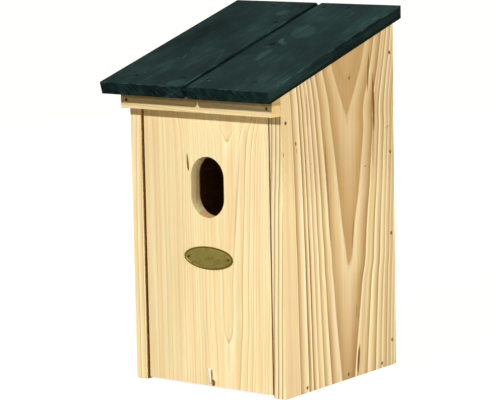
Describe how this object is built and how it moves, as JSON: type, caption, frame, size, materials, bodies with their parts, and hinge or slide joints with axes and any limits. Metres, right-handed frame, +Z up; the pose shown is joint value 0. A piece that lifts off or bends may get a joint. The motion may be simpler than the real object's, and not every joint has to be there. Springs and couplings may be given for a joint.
{
  "type": "bird nest box",
  "caption": "Wooden bird nest box with a sloping green roof, an oval entrance hole and a front panel that swings out from its lower end and is held shut by a small screw hook.",
  "frame": {"origin": "middle of the box's underside, on the floor panel's lower face", "axes": "+X to the right of the front, +Y from the front to the back, +Z up"},
  "size_m": [0.164, 0.1803, 0.293],
  "materials": {
    "pine_front": "planed, untreated pale softwood",
    "pine_side": "planed, untreated softwood with strong grain",
    "green_roof": "dark green stain, satin, grain showing through",
    "nail_steel": "dull dark steel",
    "nail_painted": "steel stained over with the roof",
    "hook_zinc": "zinc plated",
    "plate_brass": "aged brass, satin"
  },
  "bodies": {
    "housing": {"side_panel_left": "pine_side", "side_panel_right": "pine_side", "back_panel": "pine_front", "floor_panel": "pine_front", "lintel": "pine_front", "roof_board_left": "green_roof", "roof_board_right": "green_roof", "pivot_nail_left": "nail_steel", "pivot_nail_right": "nail_steel", "lintel_nail_left": "nail_steel", "lintel_nail_right": "nail_steel", "back_nail_left_1": "nail_steel", "back_nail_left_2": "nail_steel", "back_nail_left_3": "nail_steel", "back_nail_left_4": "nail_steel", "back_nail_right_1": "nail_steel", "back_nail_right_2": "nail_steel", "back_nail_right_3": "nail_steel", "back_nail_right_4": "nail_steel", "floor_nail_left_1": "nail_steel", "floor_nail_left_2": "nail_steel", "floor_nail_left_3": "nail_steel", "floor_nail_right_1": "nail_steel", "floor_nail_right_2": "nail_steel", "floor_nail_right_3": "nail_steel", "roof_nail_left_front_1": "nail_painted", "roof_nail_left_front_2": "nail_painted", "roof_nail_left_back_1": "nail_painted", "roof_nail_left_back_2": "nail_painted", "roof_nail_right_front_1": "nail_painted", "roof_nail_right_front_2": "nail_painted", "roof_nail_right_back_1": "nail_painted", "roof_nail_right_back_2": "nail_painted"},
    "door": {"front_panel": "pine_front", "oval_plate": "plate_brass", "plate_pin_left": "plate_brass", "plate_pin_right": "plate_brass"},
    "hook": {"screw_hook": "hook_zinc"}
  },
  "joints": [
    {"name": "door_swing", "type": "hinge", "parent": "housing", "child": "door", "pos_m": [0, -0.07075, 0.21363], "axis": [-1, 0, 0], "range_deg": [0, 85]},
    {"name": "hook_turn", "type": "hinge", "parent": "door", "child": "hook", "pos_m": [0.0022, -0.06525, 0.005], "axis": [0, -1, 0], "range_deg": [0, 180]}
  ]
}
